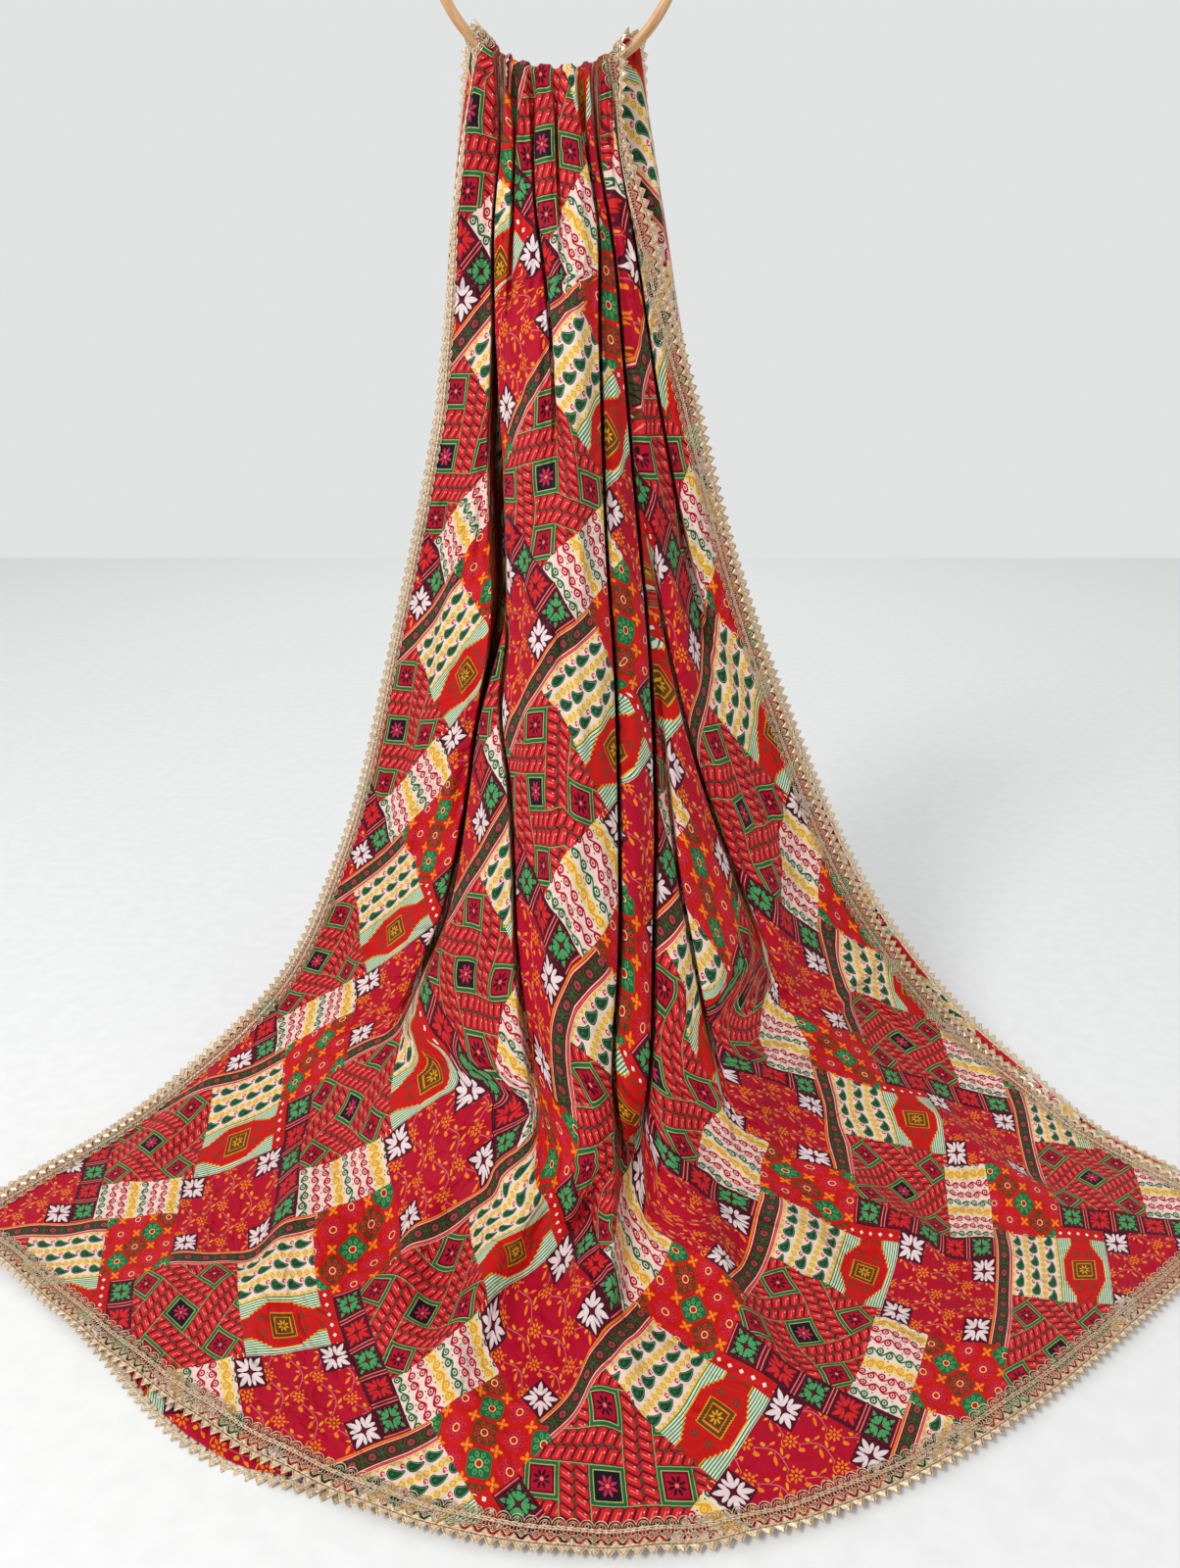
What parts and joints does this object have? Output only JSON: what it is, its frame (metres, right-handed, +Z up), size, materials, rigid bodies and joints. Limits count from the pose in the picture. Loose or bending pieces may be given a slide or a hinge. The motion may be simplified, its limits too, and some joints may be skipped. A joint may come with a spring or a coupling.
{
  "type": "chinon dupatta on a hanging ring",
  "caption": "Long printed scarf with a gold lace border, doubled through a plain ring so that it hangs in pleats and fans out over the floor.",
  "frame": {"origin": "top of the ring, where it is hung up", "axes": "+Z up, -Y towards the viewer, +X to the viewer's right"},
  "size_m": [1.0154, 0.5583, 1.0134],
  "materials": {
    "printed_chinon": "soft satin, printed",
    "gold_lace": "metallic thread with foil scallops",
    "ring_wood": "smooth, satin"
  },
  "bodies": {
    "root": {"cloth": "printed_chinon", "lace_front_hem": "gold_lace", "lace_back_hem": "gold_lace", "lace_left": "gold_lace", "lace_right": "gold_lace", "ring": "ring_wood"}
  },
  "joints": []
}
